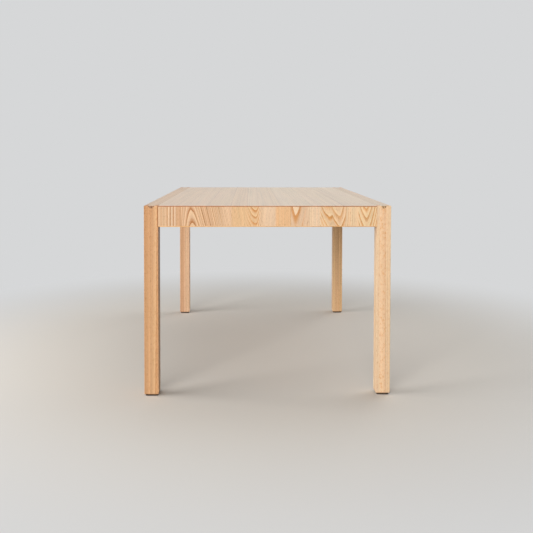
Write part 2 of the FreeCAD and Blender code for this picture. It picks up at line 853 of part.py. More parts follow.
# Foot pads and the screws that hold them
foot_spots = [(f"{side_x} + leg_side / 2", f"{end_y} + leg_side / 2", "pad_screw_recess", drive_up)]
foot_space = standing("foot_space", pad_screw_space, foot_spots)
foot_screw = standing("foot_screw", pad_screw, foot_spots)
foot_pair = group_of("foot_pair", [foot_screw, across(foot_screw, "foot_screw_right")])
keep("foot_pad_screws", group_of("foot_pad_screws", [foot_pair, along(foot_pair, "foot_pair_rear")]))
keep_four("foot_pad", bored("foot_pad_front_left", foot_pad_blank(), [foot_space]))

# The wooden frame
keep_four("leg", bored("leg_front_left", leg_blank(), [bolt, foot_space]))
near_corners = ("front_left", "front_right", "rear_left")
corner_sets = {corner: pieces[f"bracket_screws_{corner}"] for corner in near_corners}
rail_tools = [rail_cleat_spaces, corner_sets["front_left"], corner_sets["rear_left"]]
keep_sides("rail", bored("rail_left", rail_blank(), rail_tools))
apron_tools = [apron_cleat_spaces, corner_sets["front_left"], corner_sets["front_right"]]
keep_ends("apron_core", bored("apron_core_front", apron_core_blank(), apron_tools))
keep_ends("apron_face", apron_face())
keep_ends("apron_lipping", apron_lipping())

# The panel and what carries it
keep("top_face", top_face())
core_bottom = f"{panel_underside} + backing_thickness"
inside_frame = (panel_length, inner_y)
core_blank = panel_layer("top_core_blank", "core_thickness", core_bottom, *inside_frame)
backing_blank = panel_layer("top_backing_blank", "backing_thickness", panel_underside, *inside_frame)
keep("top_core", bored("top_core", core_blank, [panel_spaces, brace_spaces]))
keep("top_backing", bored("top_backing", backing_blank, [panel_spaces, brace_spaces]))
side_cleat = cleat("side_cleat_blank", rail_cleat_length, True)
place(side_cleat, inner_x, rail_cleat_start, cleat_bottom)
keep_sides("cleat", bored("cleat_left", side_cleat, [rail_cleat_spaces, panel_spaces]))
end_cleat = cleat("end_cleat_blank", apron_cleat_length, False)
place(end_cleat, apron_cleat_start, inner_y, cleat_bottom)
keep_ends("cleat", bored("cleat_front", end_cleat, [apron_cleat_spaces, panel_spaces]))
keep_ends("cross_brace", bored("cross_brace_front", cross_brace_blank(), [brace_spaces]))

# The steel corner brackets
bracket_holes = [bolt_way(), corner_sets["front_left"]]
keep_four("corner_bracket", bored("corner_bracket_front_left", bracket_blank(), bracket_holes))

doc.recompute()
for item in doc.Objects:
    if "Invalid" in item.State or "Error" in item.State:
        raise RuntimeError(f"{item.Label} failed: {item.State}")
for name, piece in pieces.items():
    shape = Part.getShape(piece)
    if shape.isNull() or not shape.isValid() or not shape.Solids:
        raise RuntimeError(f"{name} has no sound solid")
for name, piece in pieces.items():
    Part.getShape(piece).exportStep(f"parts/{name}.step")
print(len(pieces), "pieces written")
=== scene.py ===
import math

import bmesh
import bpy
from mathutils import Matrix, Vector


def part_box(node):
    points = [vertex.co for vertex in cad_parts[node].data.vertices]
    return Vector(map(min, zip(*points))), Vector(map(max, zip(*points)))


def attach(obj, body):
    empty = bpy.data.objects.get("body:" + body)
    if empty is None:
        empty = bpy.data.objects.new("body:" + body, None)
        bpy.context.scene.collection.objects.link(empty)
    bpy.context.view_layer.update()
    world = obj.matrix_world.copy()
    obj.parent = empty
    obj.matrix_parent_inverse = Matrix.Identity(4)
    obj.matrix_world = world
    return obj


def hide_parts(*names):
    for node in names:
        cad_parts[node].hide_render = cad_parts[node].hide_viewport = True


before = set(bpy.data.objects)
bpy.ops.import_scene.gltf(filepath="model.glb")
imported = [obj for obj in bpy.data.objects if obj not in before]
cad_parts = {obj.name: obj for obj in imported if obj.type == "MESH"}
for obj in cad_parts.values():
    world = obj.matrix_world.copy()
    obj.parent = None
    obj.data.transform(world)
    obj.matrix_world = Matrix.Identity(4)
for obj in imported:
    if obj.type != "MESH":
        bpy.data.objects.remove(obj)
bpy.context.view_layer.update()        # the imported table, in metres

print("table loaded:", len(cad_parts), "pieces")

# Small tools for colours, node trees and objects


def tint(red, green, blue):    # a paint-chart colour, 0 to 255, as Blender's linear one
    linear = []
    for part in (red, green, blue):
        part /= 255
        linear.append(part / 12.92 if part <= 0.04045 else ((part + 0.055) / 1.055) ** 2.4)
    return (*linear, 1.0)


def addNode(tree, kind, **settings):
    node = tree.nodes.new(kind)
    for name, value in settings.items():
        setattr(node, name, value)
    return node


def feed(tree, socket, value):    # a link from another node, or a plain value
    if isinstance(value, bpy.types.NodeSocket):
        tree.links.new(value, socket)
    elif socket.type == "VECTOR":
        socket.default_value = value[:3]
    else:
        socket.default_value = value


def calc(tree, operation, *terms):
    node = addNode(tree, "ShaderNodeMath", operation=operation)
    for socket, term in zip(node.inputs, terms):
        feed(tree, socket, term)
    return node.outputs[0]


def vectorCalc(tree, operation, *terms):
    node = addNode(tree, "ShaderNodeVectorMath", operation=operation)
    for socket, term in zip(node.inputs, terms):
        feed(tree, socket, term)
    return node.outputs["Vector"]


def split(tree, vector):
    if not isinstance(vector, bpy.types.NodeSocket):
        return vector
    node = addNode(tree, "ShaderNodeSeparateXYZ")
    feed(tree, node.inputs[0], vector)
    return node.outputs


def combine(tree, *parts):
    node = addNode(tree, "ShaderNodeCombineXYZ")
    for socket, part in zip(node.inputs, parts):
        feed(tree, socket, part)
    return node.outputs[0]


def fade(tree, value, start, end, low=0.0, high=1.0):    # rises softly from low to high
    node = addNode(tree, "ShaderNodeMapRange", interpolation_type="SMOOTHSTEP")
    titles = ("Value", "From Min", "From Max", "To Min", "To Max")
    for title, term in zip(titles, (value, start, end, low, high)):
        feed(tree, node.inputs[title], term)
    return node.outputs[0]


def blendColour(tree, mask, first, second, kind="MIX"):    # 6, 7 and 2 are the Mix node's colour sockets
    node = addNode(tree, "ShaderNodeMix", data_type="RGBA", blend_type=kind)
    for index, term in zip((0, 6, 7), (mask, first, second)):
        feed(tree, node.inputs[index], term)
    return node.outputs[2]


def noise(tree, place, stretch, detail=2.0, seed=0.0):    # stretch: how many waves a metre, each way
    node = addNode(tree, "ShaderNodeTexNoise", noise_dimensions="4D")
    feed(tree, node.inputs["Vector"], vectorCalc(tree, "MULTIPLY", place, stretch))
    feed(tree, node.inputs["W"], seed)
    feed(tree, node.inputs["Scale"], 1.0)
    feed(tree, node.inputs["Detail"], detail)
    return node.outputs[0]


def noiseAlong(tree, value, waves):    # noise over a single number
    node = addNode(tree, "ShaderNodeTexNoise", noise_dimensions="1D")
    feed(tree, node.inputs["W"], value)
    feed(tree, node.inputs["Scale"], waves)
    return node.outputs[0]


noiseMiddle = 0.5


def centred(tree, value):    # noise as a move to either side
    return calc(tree, "SUBTRACT", value, noiseMiddle)


def objectPlace(tree):
    return addNode(tree, "ShaderNodeTexCoord").outputs["Object"]


def newMaterial(name):
    material = bpy.data.materials.new(name)
    material.use_nodes = True
    return material, material.node_tree, material.node_tree.nodes["Principled BSDF"]


def addBump(tree, shader, strength, distance, height):
    bump = addNode(tree, "ShaderNodeBump")
    feed(tree, bump.inputs["Strength"], strength)
    feed(tree, bump.inputs["Distance"], distance)
    feed(tree, bump.inputs["Height"], height)
    feed(tree, shader.inputs["Normal"], bump.outputs[0])


def addObject(name, data):
    made = bpy.data.objects.new(name, data)
    bpy.context.scene.collection.objects.link(made)
    return made


def newGroup(name, inputs, outputs):
    tree = bpy.data.node_groups.new(name, "ShaderNodeTree")
    for side, sockets in (("INPUT", inputs), ("OUTPUT", outputs)):
        for title, kind in sockets.items():
            tree.interface.new_socket(name=title, in_out=side, socket_type="NodeSocket" + kind)
    return tree, addNode(tree, "NodeGroupInput").outputs, addNode(tree, "NodeGroupOutput").inputs


def placeGroup(tree, group, values):
    node = addNode(tree, "ShaderNodeGroup", node_tree=group)
    for title, value in values.items():
        feed(tree, node.inputs[title], value)
    return node.outputs


# The growth rings of oak, cut by whatever plane the surface makes through the trunk. Vector runs across the
# board, into it and along its grain, and the trunk's heart lies at Heart Across, Heart Depth. A flame's tip
# is where one ring turns: a negative taper points it up the grain, a positive one down it.

grainNumbers = {
    "Heart Across": "heartAcross",
    "Heart Depth": "heartDepth",
    "Taper": "taper",    # how much the trunk narrows with each metre
    "Tip": "tip",
    "Ring": "ring",      # a year's growth
    "Bend": "bend",
    "Ripple": "ripple",
    "Fold": "fold",      # half the distance between the two crowns of a double flame
    "Lean": "lean",      # how far a flame leans with each metre
    "Tilt": "tilt",
    "Sharp": "sharp",    # 0 gives a round tip, more a pointed one
    "Vary": "vary",      # how uneven the years are
    "Calm": "calm",      # how far from the heart's line the rings are at half their strength
    "Seed": "seed",
}
finishNumbers = {
    "Streak Amount": "streak",    # long pale and dark streaks
    "Mottle": "mottle",           # soft orange dabs
    "Ray Amount": "flecks",
}
grainMarks = ("Porous", "Dense", "Ring Tone", "Lines", "Pores", "Rays", "Fibre")

ringSettings = {
    "slowWaves": (13.0, 13.0, 2.4),    # waves a metre in the rings' lazy bends
    "quickWaves": (75.0, 75.0, 10.0),
    "tipRound": 4e-6,                  # square metres that round the turn at the heart's line
    "yearWaves": 0.8,                  # waves a ring in the width of the years
    "lineWaves": 3.1,                  # waves a ring in the fine lines between them
    "seedStep": 17.0,
    "porousOpens": (0.0, 0.05),        # shares of a ring
    "porousEnds": (0.10, 0.55),
    "calmEnds": (0.5, 1.5),            # shares of the calm distance
    "calmLeaves": 0.2,                 # what is left of the rings past it
    "porousLoss": 0.6,                 # how much paler the weakest year is, where years vary by 1
    "denseStarts": (0.55, 0.92),
    "poreWaves": (2300.0, 2300.0, 95.0),
    "poreEdge": 0.68,
    "poreCrowd": -0.14,
    "poreSoft": 0.06,
    "fibreWaves": (820.0, 820.0, 12.0),
    "rayWaves": (900.0, 24.0, 70.0),
    "raySheet": 0.12,                  # metres from the heart at which rays have their true spacing
    "rayEdge": (0.66, 0.74),
}


def makeOakGrain():
    values = {"Vector": "Vector", **dict.fromkeys(grainNumbers, "Float")}
    tree, given, made = newGroup("oakGrain", values, dict.fromkeys(grainMarks, "Float"))
    settings = ringSettings
    place, seed = given["Vector"], given["Seed"]
    across, depth, along = split(tree, place)

    # distance from the heart, folded where a leaf carries a double crown
    pastTip = calc(tree, "SUBTRACT", along, given["Tip"])
    heartLine = calc(tree, "MULTIPLY_ADD", pastTip, given["Lean"], given["Heart Across"])
    aside = calc(tree, "SUBTRACT", across, heartLine)
    softened = calc(tree, "SQRT", calc(tree, "MULTIPLY_ADD", aside, aside, settings["tipRound"]))
    folded = calc(tree, "SUBTRACT", softened, given["Fold"])
    inward = calc(tree, "SUBTRACT", depth, given["Heart Depth"])
    square = calc(tree, "MULTIPLY_ADD", folded, folded, calc(tree, "MULTIPLY", inward, inward))
    radius = calc(tree, "SQRT", square)
    start = calc(tree, "SUBTRACT", radius, calc(tree, "ABSOLUTE", given["Heart Depth"]))
    pointed = calc(tree, "MULTIPLY_ADD", calc(tree, "ABSOLUTE", folded), given["Sharp"], start)
    tilted = calc(tree, "MULTIPLY_ADD", aside, given["Tilt"], pointed)
    slow = centred(tree, noise(tree, place, settings["slowWaves"], seed=seed))
    quick = centred(tree, noise(tree, place, settings["quickWaves"], seed=seed))
    wobble = calc(tree, "MULTIPLY_ADD", slow, given["Bend"], calc(tree, "MULTIPLY", quick, given["Ripple"]))
    risen = calc(tree, "MULTIPLY", pastTip, given["Taper"])
    reach = calc(tree, "ADD", calc(tree, "SUBTRACT", tilted, risen), wobble)
    even = calc(tree, "DIVIDE", reach, given["Ring"])

    # years differ in width and strength, and fine lines run beside them
    shifted = calc(tree, "MULTIPLY_ADD", seed, settings["seedStep"], even)
    years = noiseAlong(tree, shifted, settings["yearWaves"])
    lines = noiseAlong(tree, shifted, settings["lineWaves"])
    rings = calc(tree, "MULTIPLY_ADD", centred(tree, years), given["Vary"], even)
    year = calc(tree, "FLOOR", rings)
    phase = calc(tree, "FRACT", rings)
    chance = addNode(tree, "ShaderNodeTexWhiteNoise", noise_dimensions="2D")
    feed(tree, chance.inputs["Vector"], combine(tree, year, seed, 0.0))
    strength, tone, pale = split(tree, chance.outputs["Color"])
    opening = fade(tree, phase, *settings["porousOpens"])
    closing = fade(tree, phase, *settings["porousEnds"], 1.0, 0.0)
    band = calc(tree, "MULTIPLY", opening, closing)
    weakest = calc(tree, "MULTIPLY_ADD", given["Vary"], -settings["porousLoss"], 1.0)
    near, far = (calc(tree, "MULTIPLY", given["Calm"], share) for share in settings["calmEnds"])
    shown = fade(tree, calc(tree, "ABSOLUTE", folded), near, far, 1.0, settings["calmLeaves"])
    band = calc(tree, "MULTIPLY", band, shown)
    porous = calc(tree, "MULTIPLY", band, fade(tree, strength, 0.0, 1.0, weakest, 1.0))
    dense = calc(tree, "MULTIPLY", fade(tree, phase, *settings["denseStarts"]), pale)

    # open pores gather in the spring wood, and rays stand in sheets that point at the heart
    poreField = noise(tree, place, settings["poreWaves"], detail=0.0, seed=seed)
    poreEdge = calc(tree, "MULTIPLY_ADD", porous, settings["poreCrowd"], settings["poreEdge"])
    pores = fade(tree, poreField, poreEdge, calc(tree, "ADD", poreEdge, settings["poreSoft"]))
    turn = calc(tree, "MULTIPLY", calc(tree, "ARCTAN2", aside, inward), settings["raySheet"])
    rayField = noise(tree, combine(tree, turn, radius, along), settings["rayWaves"], detail=0.0, seed=seed)
    rays = fade(tree, rayField, *settings["rayEdge"])
    fibre = noise(tree, place, settings["fibreWaves"], detail=3.0, seed=seed)

    for title, source in zip(grainMarks, (porous, dense, tone, lines, pores, rays, fibre)):
        feed(tree, made[title], source)
    return tree


# Oiled timber: turns the grain's marks into colour, roughness and height

timberSettings = {
    "spreads": {    # how far each mark moves the brightness, about its middle
        "Ring Tone": 0.10,
        "Lines": 0.20,
        "Fibre": 0.22,
        "Drift": 0.16,
    },
    "driftWaves": (16.0, 16.0, 3.0),
    "streakWaves": (95.0, 95.0, 1.8),
    "hueWaves": (11.0, 11.0, 1.6),
    "hueEdge": (0.3, 0.7),
    "pinkCast": (1.01, 0.985, 0.99, 1.0),
    "yellowCast": (1.0, 1.0, 0.965, 1.0),
    "denseGlow": 0.5,
    "denseTint": (1.0, 0.93, 0.84, 1.0),
    "poreShade": (0.52, 0.40, 0.32, 1.0),    # what a pore leaves of the wood's colour
    "rayShade": (0.86, 0.78, 0.70, 1.0),
    "mottleWaves": (105.0, 105.0, 88.0),
    "mottleEdge": (0.46, 0.66),
    "mottleShade": (0.90, 0.74, 0.55, 1.0),
    "dabWaves": (520.0, 520.0, 170.0),    # each dab is a patch of small flecks
    "dabEdge": (0.30, 0.66),
    # what a glue line, or a painted shadow along a joint or an arris, leaves of the colour
    "glueAndShadowColour": (0.60, 0.46, 0.36, 1.0),
    "wearTint": (1.0, 0.94, 0.86, 1.0),
    "wearGlow": 0.15,
    "roughness": 0.46,
    "roughMarks": {"Pores": 0.16, "Porous": 0.06, "Rays": -0.06, "End Grain": 0.16, "Wear": -0.08},
    "fibreRough": 0.12,
    "heightMarks": {"Porous": -0.25, "Fibre": 0.3, "Glue": -0.8},
}


def makeTimberFinish():
    colours = dict.fromkeys(("Dense Colour", "Porous Colour", "Dense End", "Porous End"), "Color")
    marks = (*grainMarks, "End Grain", "Wear", "Glue", "Pore Amount", *finishNumbers, "Seed")
    values = {"Vector": "Vector", **colours, **dict.fromkeys(marks, "Float")}
    looks = {"Colour": "Color", "Roughness": "Float", "Height": "Float"}
    tree, given, made = newGroup("timberFinish", values, looks)
    settings = timberSettings
    place, seed = given["Vector"], given["Seed"]

    base = blendColour(tree, given["Porous"], given["Dense Colour"], given["Porous Colour"])
    glow = calc(tree, "MULTIPLY", given["Dense"], settings["denseGlow"])
    lit = blendColour(tree, glow, base, settings["denseTint"], "SOFT_LIGHT")

    # brightness moves from ring to ring, from fibre to fibre, in long streaks and over the whole board
    marks = {title: given[title] for title in ("Ring Tone", "Lines", "Fibre")}
    marks["Drift"] = noise(tree, place, settings["driftWaves"], seed=seed)
    streak = centred(tree, noise(tree, place, settings["streakWaves"], seed=seed))
    level = calc(tree, "MULTIPLY_ADD", streak, given["Streak Amount"], 1.0)
    for title, spread in settings["spreads"].items():
        level = calc(tree, "MULTIPLY_ADD", centred(tree, marks[title]), spread, level)
    toned = blendColour(tree, 1.0, lit, combine(tree, level, level, level), "MULTIPLY")
    hue = fade(tree, noise(tree, place, settings["hueWaves"], detail=1.0, seed=seed), *settings["hueEdge"])
    cast = blendColour(tree, hue, settings["pinkCast"], settings["yellowCast"])
    tinted = blendColour(tree, 1.0, toned, cast, "MULTIPLY")
    patches = noise(tree, place, settings["mottleWaves"], detail=1.0, seed=seed)
    flecks = noise(tree, place, settings["dabWaves"], detail=1.0, seed=seed)
    patches = fade(tree, patches, *settings["mottleEdge"])
    flecks = fade(tree, flecks, *settings["dabEdge"])
    mottle = calc(tree, "MULTIPLY", calc(tree, "MULTIPLY", patches, flecks), given["Mottle"])
    mottled = blendColour(tree, mottle, tinted, settings["mottleShade"], "MULTIPLY")

    poreMask = calc(tree, "MULTIPLY", given["Pores"], given["Pore Amount"])
    pored = blendColour(tree, poreMask, mottled, settings["poreShade"], "MULTIPLY")
    rayMask = calc(tree, "MULTIPLY", given["Rays"], given["Ray Amount"])
    rayed = blendColour(tree, rayMask, pored, settings["rayShade"], "MULTIPLY")
    endShade = blendColour(tree, given["Porous"], given["Dense End"], given["Porous End"])
    ended = blendColour(tree, given["End Grain"], rayed, endShade, "MULTIPLY")
    # glue lines and painted shadows along joints and arrises darken the colour
    gluedAndShaded = blendColour(tree, given["Glue"], ended, settings["glueAndShadowColour"], "MULTIPLY")
    rubbed = calc(tree, "MULTIPLY", given["Wear"], settings["wearGlow"])
    worn = blendColour(tree, rubbed, gluedAndShaded, settings["wearTint"], "SOFT_LIGHT")

    fibre = centred(tree, given["Fibre"])
    rough = calc(tree, "MULTIPLY_ADD", fibre, settings["fibreRough"], settings["roughness"])
    for title, amount in settings["roughMarks"].items():
        rough = calc(tree, "MULTIPLY_ADD", given[title], amount, rough)
    height = calc(tree, "MULTIPLY", poreMask, -1.0)
    for title, amount in settings["heightMarks"].items():
        height = calc(tree, "MULTIPLY_ADD", given[title], amount, height)

    for title, source in zip(looks, (worn, rough, height)):
        feed(tree, made[title], source)
    return tree


# Wear along the arrises of a square piece, from its two far corners

arrisSettings = {
    "waves": (55.0, 55.0, 55.0),
    "leastShare": 0.4,    # the narrowest wear, as a share of its width
}


def makeArrisWear():
    values = {"Vector": "Vector", "Low": "Vector", "High": "Vector", "Width": "Float"}
    tree, given, made = newGroup("arrisWear", values, {"Wear": "Float"})
    fromLow = vectorCalc(tree, "ABSOLUTE", vectorCalc(tree, "SUBTRACT", given["Vector"], given["Low"]))
    fromHigh = vectorCalc(tree, "ABSOLUTE", vectorCalc(tree, "SUBTRACT", given["High"], given["Vector"]))
    x, y, z = split(tree, vectorCalc(tree, "MINIMUM", fromLow, fromHigh))
    nearer = calc(tree, "MINIMUM", x, y)
    further = calc(tree, "MAXIMUM", x, y)
    middle = calc(tree, "MAXIMUM", nearer, calc(tree, "MINIMUM", further, z))
    rubbed = noise(tree, given["Vector"], arrisSettings["waves"], detail=3.0)
    share = calc(tree, "ADD", rubbed, arrisSettings["leastShare"])
    width = calc(tree, "MULTIPLY", given["Width"], share)
    feed(tree, made["Wear"], fade(tree, middle, 0.0, width, 1.0, 0.0))
    return tree


oakGrain = makeOakGrain()
timberFinish = makeTimberFinish()
arrisWear = makeArrisWear()
print("grain groups ready")


# A timber material for one piece. Its look names which of the frame's axes run across, into and along the
# boards, where glued boards meet, and each board's place in its tree. A hidden seam shows no glue, and has
# the distance each side of it over which the tone turns.

plainBoard = {
    "heartAcross": 0.10,
    "heartDepth": 0.12,
    "taper": 0.01,
    "tip": 0.0,
    "ring": 0.0026,
    "bend": 0.004,
    "ripple": 0.0010,
    "fold": 0.0,
    "lean": 0.0,
    "tilt": 0.0,
    "sharp": 0.0,
    "vary": 1.1,
    "calm": 9.0,
    "streak": 0.2,
    "mottle": 0.0,
    "flecks": 0.6,
    "dense": tint(236, 200, 159),
    "porous": tint(208, 156, 108),
}
plainLook = {
    "seams": [],
    "hiddenSeams": {},
    "joints": [],
    "wear": 0.003,          # how far wear reaches from an arris
    "endGrain": 1.0,
    "endShades": ((0.57, 0.285, 0.17, 1.0), (0.26, 0.105, 0.06, 1.0)),    # what it leaves, dense and porous
    "pores": 0.75,
    "relief": 0.5,
    "coat": 0.0,
    "coatRoughness": 0.35,
}
plainJoint = {              # a shadow along a joint with another piece
    "above": -1.0,          # how far along the grain it starts
    "line": (0.0022, 0.0042),
}
boardSeedStep = 1.7
sharpTurn = 0.0005          # half the distance over which the tone turns at a glued seam
glueLine = (0.0003, 0.0009)    # half widths of its dark core and of its soft edge, as in a joint's line
jointFacing = 0.3           # how squarely a face must lie to the joint's depth to show it
endFacing = (0.5, 0.9)      # how squarely a face must lie to the grain to be end grain
reliefDepth = 0.0002


def acrossBoards(tree, passed, values):    # a value that changes at each seam
    total = values[0]
    for step, before, after in zip(passed, values, values[1:]):
        change = tuple(b - a for a, b in zip(before, after))
        total = vectorCalc(tree, "MULTIPLY_ADD", step, change[:3], total)
    return total


def boardNumbers(tree, passed, boards):    # three numbers ride in one vector, which saves nodes
    titles = {**grainNumbers, **finishNumbers}
    names = list(titles.values())
    found = []
    for first in range(0, len(names), 3):
        trio = names[first:first + 3]
        rows = [tuple(board[name] for name in trio) + (0.0,) * (3 - len(trio)) for board in boards]
        found += list(split(tree, acrossBoards(tree, passed, rows)))[:len(trio)]
    return dict(zip(titles, found))


def makeTimber(piece, ownLook):
    material, tree, shader = newMaterial(piece + "Timber")
    look = {**plainLook, **ownLook}
    low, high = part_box(piece)
    boards = []
    for index, board in enumerate(look["boards"]):
        boards.append({**plainBoard, "seed": look["seed"] + boardSeedStep * index, **board})

    place = objectPlace(tree)
    fromCorner = split(tree, vectorCalc(tree, "SUBTRACT", place, tuple(low)))
    order = ["xyz".index(letter) for letter in look["axes"]]
    across, depth, along = (fromCorner[index] for index in order)
    local = combine(tree, across, depth, along)

    turns = {**dict.fromkeys(look["seams"], sharpTurn), **look["hiddenSeams"]}
    seams = sorted(turns)
    passed = [calc(tree, "GREATER_THAN", across, seam) for seam in seams]
    toned = [fade(tree, across, seam - turns[seam], seam + turns[seam]) for seam in seams]
    numbers = boardNumbers(tree, passed, boards)
    grain = placeGroup(tree, oakGrain, {"Vector": local, **{title: numbers[title] for title in grainNumbers}})
    normal = split(tree, addNode(tree, "ShaderNodeNewGeometry").outputs["Normal"])

    glueAndShadow = 0.0
    for seam in look["seams"]:
        offset = calc(tree, "ABSOLUTE", calc(tree, "SUBTRACT", across, seam))
        glueAndShadow = calc(tree, "MAXIMUM", glueAndShadow, fade(tree, offset, *glueLine, 1.0, 0.0))
    # painted shadow lines, along each joint with another piece and along an outer arris
    for ownJoint in look["joints"]:
        joint = {**plainJoint, **ownJoint}
        offset = calc(tree, "ABSOLUTE", calc(tree, "SUBTRACT", across, joint["across"]))
        above = calc(tree, "GREATER_THAN", along, joint["above"])
        squarely = calc(tree, "GREATER_THAN", calc(tree, "ABSOLUTE", normal[order[1]]), jointFacing)
        soft = fade(tree, offset, *joint["line"], joint["shade"], 0.0)
        line = calc(tree, "MULTIPLY", soft, above)
        glueAndShadow = calc(tree, "MAXIMUM", glueAndShadow, calc(tree, "MULTIPLY", line, squarely))
    facing = calc(tree, "ABSOLUTE", normal[order[2]])
    endGrain = fade(tree, facing, *endFacing, 0.0, look["endGrain"])
    corners = {"Low": tuple(low), "High": tuple(high)}
    wear = placeGroup(tree, arrisWear, {"Vector": place, **corners, "Width": look["wear"]})
    denseEnd, porousEnd = look["endShades"]

    finish = placeGroup(tree, timberFinish, {
        "Vector": local,
        "Dense Colour": acrossBoards(tree, toned, [board["dense"] for board in boards]),
        "Porous Colour": acrossBoards(tree, toned, [board["porous"] for board in boards]),
        **{title: grain[title] for title in grainMarks},
        "End Grain": endGrain,
        "Wear": wear["Wear"],
        "Glue": glueAndShadow,
        "Dense End": denseEnd,
        "Porous End": porousEnd,
        "Pore Amount": look["pores"],
        **{title: numbers[title] for title in finishNumbers},
        "Seed": numbers["Seed"],
    })
    addBump(tree, shader, look["relief"], reliefDepth, finish["Height"])
    feed(tree, shader.inputs["Base Color"], finish["Colour"])
    feed(tree, shader.inputs["Roughness"], finish["Roughness"])
    shader.inputs["Coat Weight"].default_value = look["coat"]
    shader.inputs["Coat Roughness"].default_value = look["coatRoughness"]
    return material


def dress(piece, material):
    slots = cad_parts[piece].data.materials
    slots.clear()
    slots.append(material)


# The four legs stand with their grain upright. Each was sawn from another board.

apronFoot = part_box("apron_lipping_front")[0][2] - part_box("leg_front_left")[0][2]
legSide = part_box("leg_front_left")[1][0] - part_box("leg_front_left")[0][0]
leftJointShadow = {"across": legSide, "above": apronFoot, "shade": 0.9}     # painted shadow where the apron meets a left leg
# a fainter painted shadow where the apron meets a right leg
rightJointShadow = {"across": 0.0, "above": apronFoot, "shade": 0.25}
litInnerFace = {0.0006: 0.0003}      # painted light: the inner face, lit from the left, is painted paler, and its tone turns within its arris
plainLeg = {"axes": "xyz", "endGrain": 0.3}    # the heads show only a little of the end grain's darkness
evenBoard = {"heartAcross": -0.16, "heartDepth": 0.15, "streak": 0.3, "vary": 0.2}
lineBoard = {"heartAcross": -0.150, "heartDepth": 0.05, "ring": 0.0040}
legLooks = {
    "leg_front_left": {
        **plainLeg, "seed": 3.0, "joints": [leftJointShadow],
        "hiddenSeams": {0.022: 0.006},
        "boards": [
            {**evenBoard, "ring": 0.0300, "mottle": 0.4,
             "dense": tint(213, 166, 123), "porous": tint(206, 156, 111)},
            {**evenBoard, "ring": 0.0250, "mottle": 0.3,
             "dense": tint(217, 172, 130), "porous": tint(209, 161, 117)},
        ],
    },
    "leg_front_right": {
        **plainLeg, "seed": 8.0, "pores": 0.4, "joints": [rightJointShadow],
        "hiddenSeams": {**litInnerFace, 0.012: 0.004, 0.036: 0.004},
        "boards": [
            # the paler board on the inner face is painted light
            {**lineBoard, "dense": tint(255, 221, 181), "porous": tint(249, 206, 160)},
            {**lineBoard, "mottle": 0.5,
             "dense": tint(245, 215, 182), "porous": tint(237, 200, 162)},
            {"heartAcross": 0.150, "heartDepth": 0.15, "ring": 0.0300, "mottle": 1.0, "vary": 0.2,
             "dense": tint(245, 212, 175), "porous": tint(242, 205, 166)},
            {"heartAcross": 0.150, "heartDepth": 0.05, "ring": 0.0028, "streak": 0.4, "mottle": 0.5,
             "dense": tint(245, 214, 178), "porous": tint(229, 186, 145)},
        ],
    },
    "leg_rear_left": {
        **plainLeg, "seed": 13.0, "joints": [leftJointShadow],
        "hiddenSeams": {0.024: 0.002},
        "boards": [
            {"heartAcross": -0.10, "heartDepth": 0.12, "streak": 0.3,
             "dense": tint(215, 171, 136), "porous": tint(188, 137, 102)},
            {"heartAcross": 0.13, "heartDepth": 0.07, "ring": 0.0050, "streak": 0.3,
             "dense": tint(236, 196, 162), "porous": tint(206, 156, 117)},
        ],
    },
    "leg_rear_right": {
        **plainLeg, "seed": 19.0, "seams": [0.034], "joints": [rightJointShadow],
        "boards": [
            {"heartAcross": -0.13, "heartDepth": 0.10, "ring": 0.0045, "streak": 0.6,
             "dense": tint(254, 211, 163), "porous": tint(206, 156, 109)},
            {"heartAcross": -0.10, "heartDepth": 0.08, "ring": 0.0040, "streak": 0.5,
             "dense": tint(255, 212, 163), "porous": tint(212, 158, 109)},
        ],
    },
}
for piece, look in legLooks.items():
    dress(piece, makeTimber(piece, look))
print("legs dressed")

# The side rails, whose upper faces are the long borders of the table top

tongueShades = {    # the rings' dark spots on a tongue's end, dense and porous
    "rail_left": ((0.56, 0.45, 0.42, 1.0), (0.20, 0.11, 0.08, 1.0)),
    "rail_right": ((0.82, 0.73, 0.62, 1.0), (0.36, 0.24, 0.16, 1.0)),
}
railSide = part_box("rail_right")[1][0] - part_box("rail_right")[0][0]
outerArrisShade = {"shade": 0.35, "line": (0.002, 0.008)}    # painted shade along the outer arris, where its rounding catches less of the top's sheen, from end to end
railBoard = {"heartDepth": 0.02, "taper": 0.003, "ring": 0.0092, "bend": 0.001, "vary": 0.2}
sideBoard = {"heartDepth": 0.046, "taper": 0.012, "ring": 0.0034, "bend": 0.006, "ripple": 0.0012}
sideSkin = 0.004          # the outer face shows a crown cut of its own, this deep
sideTurn = 0.003          # half the distance over which its tone turns
heartBeyond = 0.034       # how far outside the face its heart lies
railLooks = {
    "rail_left": {
        "axes": "xzy", "seed": 23.0, "coat": 0.8, "endShades": tongueShades["rail_left"],
        "joints": [{**outerArrisShade, "across": 0.0}], "hiddenSeams": {sideSkin: sideTurn},
        "boards": [
            {**sideBoard, "heartAcross": -heartBeyond, "tip": 0.55,
             "dense": tint(226, 188, 147), "porous": tint(199, 151, 107)},
            {**railBoard, "heartAcross": -0.19817,
             "dense": tint(220, 185, 146), "porous": tint(193, 149, 106)},
        ],
    },
    "rail_right": {
        "axes": "xzy", "seed": 29.0, "coat": 0.8, "endShades": tongueShades["rail_right"],
        "joints": [{**outerArrisShade, "across": railSide}], "hiddenSeams": {railSide - sideSkin: sideTurn},
        "boards": [
            {**railBoard, "heartAcross": -0.19327,
             "dense": tint(222, 197, 164), "porous": tint(202, 167, 130)},
            {**sideBoard, "heartAcross": railSide + heartBeyond, "tip": 0.90,
             "dense": tint(228, 193, 154), "porous": tint(202, 156, 113)},
        ],
    },
}
for piece, look in railLooks.items():
    dress(piece, makeTimber(piece, look))

# The end aprons carry upright leaves of crown-cut veneer, each with its own flame

